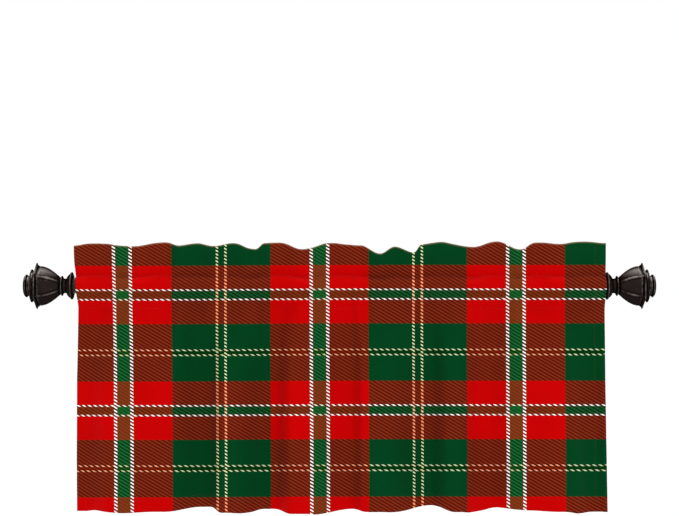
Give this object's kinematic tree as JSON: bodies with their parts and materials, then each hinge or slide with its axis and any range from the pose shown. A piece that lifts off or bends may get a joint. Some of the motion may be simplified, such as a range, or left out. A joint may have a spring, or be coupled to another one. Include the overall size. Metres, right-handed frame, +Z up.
{
  "type": "window valance on a curtain rod",
  "caption": "Tartan cloth valance with a ruffled heading, gathered on a round rod that ends in six-sided bronze finials.",
  "frame": {"origin": "middle of the rod, on its axis", "axes": "+X along the rod to the right as seen from the room, +Y away from the room towards the window, +Z up"},
  "size_m": [1.0598, 0.068, 0.4568],
  "materials": {
    "tartan_cloth": "printed polyester twill in a red and green tartan with white and yellow lines",
    "rod_bronze": "dark oil-rubbed bronze enamel",
    "finial_bronze": "dark oil-rubbed bronze, worn lighter along the edges"
  },
  "bodies": {
    "root": {"valance_cloth": "tartan_cloth", "curtain_rod": "rod_bronze", "finial_left": "finial_bronze", "finial_right": "finial_bronze"}
  },
  "joints": []
}
